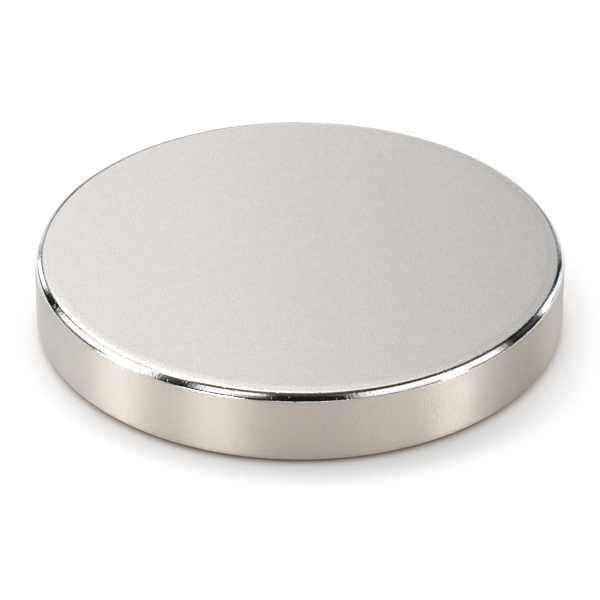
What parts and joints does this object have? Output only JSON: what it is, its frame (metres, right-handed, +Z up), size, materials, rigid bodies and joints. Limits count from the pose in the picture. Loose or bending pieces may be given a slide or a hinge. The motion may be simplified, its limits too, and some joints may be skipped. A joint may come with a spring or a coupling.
{
  "type": "disc magnet",
  "caption": "Thin round disc magnet in nickel plate, with flat satin faces, a straight cylindrical wall and bright tumbled edges.",
  "frame": {"origin": "centre of the lower flat face, on the plane the disc lies on", "axes": "+Z up along the disc's axis, through its thickness; X and Y lie in the lower face and are interchangeable"},
  "size_m": [0.02, 0.02, 0.003],
  "materials": {
    "nickel_plate": "satin nickel plate on the faces and the wall, bright on the tumbled edges"
  },
  "bodies": {
    "root": {"magnet_disc": "nickel_plate"}
  },
  "joints": []
}
